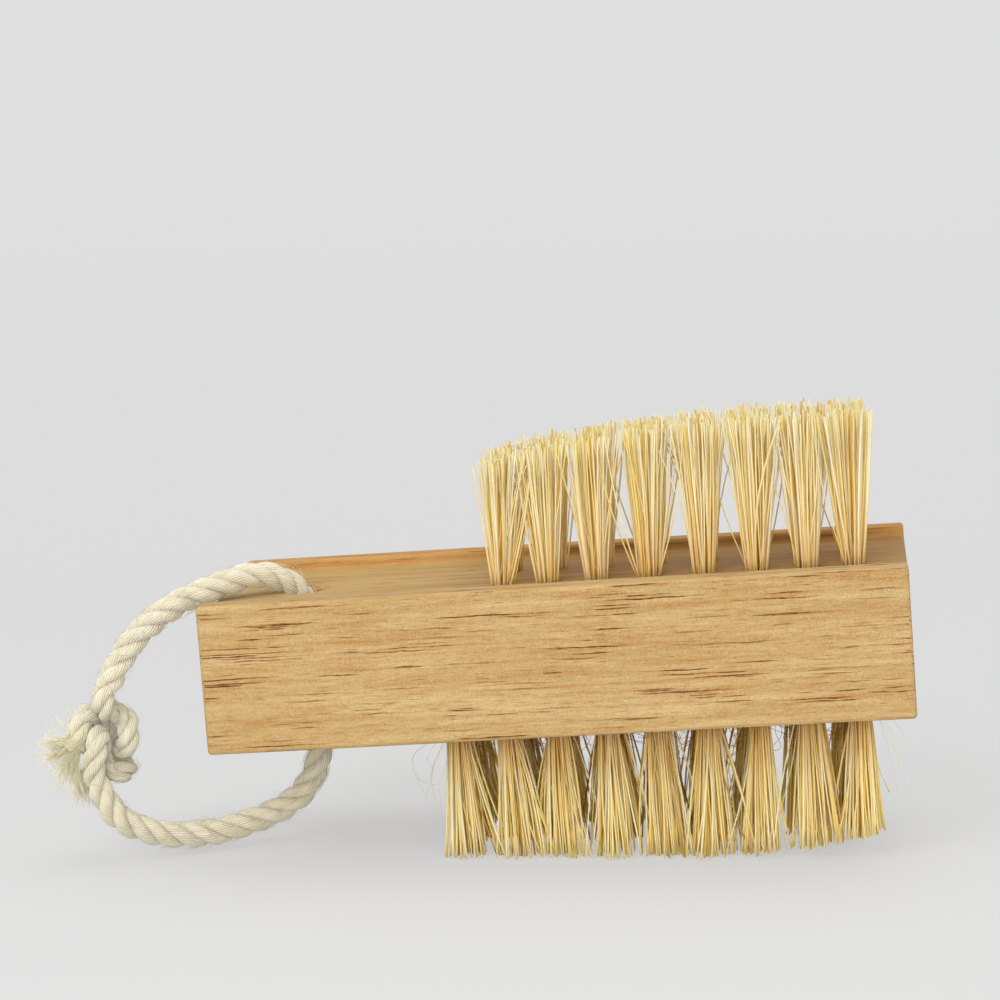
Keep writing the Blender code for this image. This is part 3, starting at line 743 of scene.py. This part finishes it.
def upper_trim(x, chance):
    """Upper bristles are cut level at the right and shorter towards the rope's end."""
    level_from = 0.030
    first_tips = -0.008
    full_length = 0.0218
    most_cut = 0.0035
    rise = max(0.0, (level_from - x) / (level_from - first_tips))
    return full_length - most_cut * rise ** 2 + chance.gauss(0.0, 0.00042)


def lower_trim(x, chance):
    """Lower bristles end just above the floor, and those at the right are cut off higher up."""
    floor_clearance = 0.00012
    cut_from = 0.016
    cut_reach = 0.0263
    cut_length = 0.0206
    most_cut = 0.0020
    to_floor = stand_height / math.cos(stand_tilt) + x * math.tan(stand_tilt) - floor_clearance
    rise = max(0.0, (x - cut_from) / cut_reach)
    clipped = cut_length - most_cut * rise ** 3 if rise > 0.0 else math.inf
    return min(to_floor, clipped) - abs(chance.gauss(0.0, 0.00022))


def hole_centre(node, up):
    """Middle of a tuft's hole in the brush's axes, from the foot of its solid in the block."""
    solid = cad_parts[node]
    to_own = to_brush @ solid.matrix_world
    places = np.array([tuple(to_own @ vertex.co) for vertex in solid.data.vertices])
    mouth = channel_floor if up > 0 else 0.0
    buried = places[(mouth - places[:, 2]) * up > foot_depth]
    return (*((buried.min(axis=0) + buried.max(axis=0)) / 2)[:2], mouth)


def add_tuft(node, up, trim, fan, lean_x, row_tone_and_shade, material):
    """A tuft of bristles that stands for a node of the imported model."""
    inner_shade_rise = 0.50
    tone_spread = 0.22
    chance = random.Random(node)
    seat = hole_centre(node, up)
    lean = (lean_x + chance.gauss(0, 0.00012), chance.gauss(0, 0.0003))
    count = bristles_per_tuft
    paths, radii = bristle_paths(seat, up, trim, fan, lean, chance)
    tubes = thin_tubes(paths, radii, hair_sides, chance)
    # Bristles inside the bundle get a deeper tone: painted shade for the light that reaches them through
    # the others
    inwards = [math.sqrt((i + 0.5) / count) if i < count else 0.3 for i in range(len(paths))]
    tone = np.array([chance.gauss(row_tone_and_shade + inner_shade_rise * out, tone_spread) for out in inwards])
    tone = np.clip(tone, 0.0, 1.0)
    tones = np.broadcast_to(tone[:, None, None], tubes.shape[:3])
    along = np.linspace(0.0, 1.0, hair_points)
    alongs = np.broadcast_to(along[None, :, None], tubes.shape[:3])
    mesh = tube_mesh(node + "_bristles", tubes, {"tone": tones, "along": alongs})
    piece = add_piece(node + "_bristles", mesh, material, brush_axes, "brush")
    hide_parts(node)


# How far each column's tips lean towards the bristle end, and how wide each fans out
upper_leans = (0.0008, 0.0004, 0.0004, 0.0003, 0.0, 0.0002, 0.0001, 0.0002)
upper_fans = (0.0031, 0.0034, 0.0032, 0.0036, 0.0034, 0.0036, 0.0034, 0.0031)
lower_leans = (0.0001, 0.0003, -0.0004, 0.0, 0.0002, -0.0005, -0.0010, 0.0, -0.0006)
lower_fans = (0.0027, 0.0028, 0.0028, 0.0034, 0.0028, 0.0029, 0.0027, 0.0034, 0.0027)
upper_base_tone = 0.22
for row in ("front", "back"):
    for column, (lean_x, fan) in enumerate(zip(upper_leans, upper_fans), 1):
        add_tuft(f"upper_tuft_{row}_{column}", 1, upper_trim, fan, lean_x, upper_base_tone,
                 upper_fibre)
# The middle row gets a deeper tone: painted shade for the light that reaches it through the outer rows
for row, row_tone_and_shade in (("front", 0.28), ("middle", 0.06), ("back", 0.24)):
    for column, (lean_x, fan) in enumerate(zip(lower_leans, lower_fans), 1):
        add_tuft(f"lower_tuft_{row}_{column}", -1, lower_trim, fan, lean_x, row_tone_and_shade,
                 lower_fibre)


# Loose hairs. A few much finer hairs of the same fibre have come out at both ends of the lower
# field and hang in wide, soft waves; short curled ones hang in the gaps between the tufts.
curl_points = 24
loose_hair_radius = 0.000030
root_hair_radius = 0.000040


def loose_hairs(name, side, count, curl):
    """Fine hairs from the lower field's end tuft; side is -1 at the rope's end, 1 at the other."""
    chance = random.Random(name)
    low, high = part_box("lower_tuft_front_1" if side < 0 else "lower_tuft_front_9")
    middle = to_brush @ ((low + high) / 2)
    share = np.linspace(0.0, 1.0, curl_points)
    paths = np.empty((count, curl_points, 3))
    for i in range(count):
        out = chance.uniform(0.0025, 0.0062)
        drop = chance.uniform(0.006, 0.015)
        start = 0.0010 + 0.0008 * chance.random()
        sweep = 1.1 + curl * chance.uniform(0.0, 1.5)
        paths[i, :, 0] = middle.x + side * (start + out * np.sin(share * sweep))
        paths[i, :, 1] = middle.y + chance.gauss(0, 0.0012)
        paths[i, :, 1] += slow_waves(chance, share, (0.7, 1.1), 0.0012 * curl)
        paths[i, :, 2] = -0.0003 - drop * share ** 1.1
        paths[i, :, 2] += slow_waves(chance, share, (0.5, 0.9), 0.0006 * curl)
        paths[i, :, 0] += slow_waves(chance, share, (0.45, 0.8), 0.0005 * curl) * share
    radii = np.full((count, curl_points), loose_hair_radius)
    tubes = thin_tubes(paths, radii, 3, chance)
    values = {"tone": np.full(tubes.shape[:3], 0.95), "along": np.ones(tubes.shape[:3])}
    piece = add_piece(name, tube_mesh(name, tubes, values), lower_fibre, brush_axes, "brush")


def root_hairs(name, per_gap):
    """Fine hairs that come out at the foot of the lower tufts and curl back up in the gaps."""
    chance = random.Random(name)
    share = np.linspace(0.0, 1.0, curl_points)
    paths = []
    for column in range(1, len(lower_fans)):
        left = hole_centre(f"lower_tuft_front_{column}", -1)
        right = hole_centre(f"lower_tuft_front_{column + 1}", -1)
        for _ in range(per_gap):
            start = (left[0] + right[0]) / 2 + chance.uniform(-0.0013, 0.0013)
            drop = chance.uniform(0.0022, 0.0085)
            turn = chance.uniform(1.5, 3.0)
            path = np.empty((curl_points, 3))
            path[:, 0] = start + slow_waves(chance, share, (0.55, 0.9, 1.3), 0.0028)
            path[:, 1] = left[1] + chance.uniform(-0.001, 0.006)
            path[:, 1] += slow_waves(chance, share, (0.6, 1.0), 0.0010)
            path[:, 2] = -0.0001 - drop * np.sin(turn * share)
            paths.append(path)
    paths = np.array(paths)
    tubes = thin_tubes(paths, np.full(paths.shape[:2], root_hair_radius), 3, chance)
    values = {"tone": np.zeros(tubes.shape[:3]), "along": np.full(tubes.shape[:3], 0.3)}
    piece = add_piece(name, tube_mesh(name, tubes, values), lower_fibre, brush_axes, "brush")


root_hairs("root_hairs", per_gap=6)
loose_hairs("loose_hairs_left", side=-1, count=7, curl=1.0)
loose_hairs("loose_hairs_right", side=1, count=5, curl=0.25)


# Floor and light. A pale sheet under soft light from all round, with three soft boxes: at the front
# left, overhead, and low in front.
floor_reach = 6.0
floor_mesh = bpy.data.meshes.new("floor")
floor_mesh.from_pydata(
    [(x * floor_reach, y * floor_reach, 0.0) for x, y in ((-1, -1), (1, -1), (1, 1), (-1, 1))],
    [], [(0, 1, 2, 3)])
floor = bpy.data.objects.new("floor", floor_mesh)
bpy.context.scene.collection.objects.link(floor)
floor_material = bpy.data.materials.new("pale_sheet")
floor_material.use_nodes = True
floor_mesh.materials.append(floor_material)
tree = floor_material.node_tree
tree.nodes.clear()
add = node_maker(tree)
place = add("ShaderNodeTexCoord")
spot = add("ShaderNodeSeparateXYZ", inputs={"Vector": place.outputs["Object"]})
# Painted light on the sheet: its glow is brightest in front, dimmer just behind the brush and a little
# lighter far off
near = add("ShaderNodeMapRange", inputs={
    "Value": spot.outputs["Y"], "From Min": -0.12, "From Max": 0.10, "To Min": 1.0, "To Max": 0.0})
far = add("ShaderNodeMapRange", inputs={
    "Value": spot.outputs["Y"], "From Min": 0.2, "From Max": 2.0, "To Min": 0.0, "To Max": 1.0})
sheet_painted_light = add("ShaderNodeMix", data_type="RGBA", inputs={
    0: near.outputs["Result"], 6: colour(220, 220, 220), 7: colour(228, 228, 228)})
sheet_painted_light = add("ShaderNodeMix", data_type="RGBA", inputs={
    0: far.outputs["Result"], 6: sheet_painted_light.outputs[2], 7: colour(223, 223, 223)})
glow = add("ShaderNodeEmission", inputs={"Color": sheet_painted_light.outputs[2], "Strength": 1.0})
cloth = add("ShaderNodeBsdfDiffuse", inputs={"Color": colour(195, 195, 195)})
away = add("ShaderNodeVectorMath", operation="LENGTH", inputs={0: place.outputs["Object"]})
open_floor = add("ShaderNodeMapRange", inputs={
    "Value": away.outputs["Value"], "From Min": 0.07, "From Max": 0.30, "To Min": 0.65, "To Max": 1.0})
ray = add("ShaderNodeLightPath")
seen = add("ShaderNodeMath", operation="MAXIMUM", inputs={
    0: ray.outputs["Is Camera Ray"], 1: ray.outputs["Is Glossy Ray"]})
seen = add("ShaderNodeMath", operation="MAXIMUM", inputs={
    0: seen.outputs["Value"], 1: ray.outputs["Is Transmission Ray"]})
share = add("ShaderNodeMath", operation="MULTIPLY", inputs={
    0: seen.outputs["Value"], 1: open_floor.outputs["Result"]})
surface = add("ShaderNodeMixShader", inputs={
    0: share.outputs["Value"], 1: cloth.outputs["BSDF"], 2: glow.outputs["Emission"]})
add("ShaderNodeOutputMaterial", inputs={"Surface": surface.outputs["Shader"]})

world = bpy.data.worlds.new("soft_room")
bpy.context.scene.world = world
world.use_nodes = True
tree = world.node_tree
tree.nodes.clear()
add = node_maker(tree)
ray = add("ShaderNodeLightPath")
light = add("ShaderNodeBackground", inputs={"Color": (1.0, 1.0, 1.0, 1.0), "Strength": 0.74})
backdrop = add("ShaderNodeBackground", inputs={"Color": colour(223, 223, 223), "Strength": 1.0})
mixed = add("ShaderNodeMixShader", inputs={
    0: ray.outputs["Is Camera Ray"], 1: light.outputs["Background"], 2: backdrop.outputs["Background"]})
add("ShaderNodeOutputWorld", inputs={"Surface": mixed.outputs["Shader"]})


def soft_lamp(name, place, size, power):
    """A square soft box that faces the middle of the brush."""
    data = bpy.data.lights.new(name, "AREA")
    data.shape = "SQUARE"
    data.size = size
    data.energy = power
    lamp = bpy.data.objects.new(name, data)
    bpy.context.scene.collection.objects.link(lamp)
    lamp.location = place
    lamp.rotation_mode = "QUATERNION"
    aim = Vector((0.0, 0.0, 0.03)) - lamp.location
    lamp.rotation_quaternion = aim.to_track_quat("-Z", "Y")


soft_lamp("front_left_box", (-0.45, -0.75, 0.70), size=0.6, power=5.5)
soft_lamp("overhead_box", (0.2, 0.15, 0.95), size=0.8, power=4.0)
soft_lamp("front_low_box", (0.12, -0.85, 0.12), size=0.5, power=6.5)
bpy.context.scene.view_settings.view_transform = "Standard"
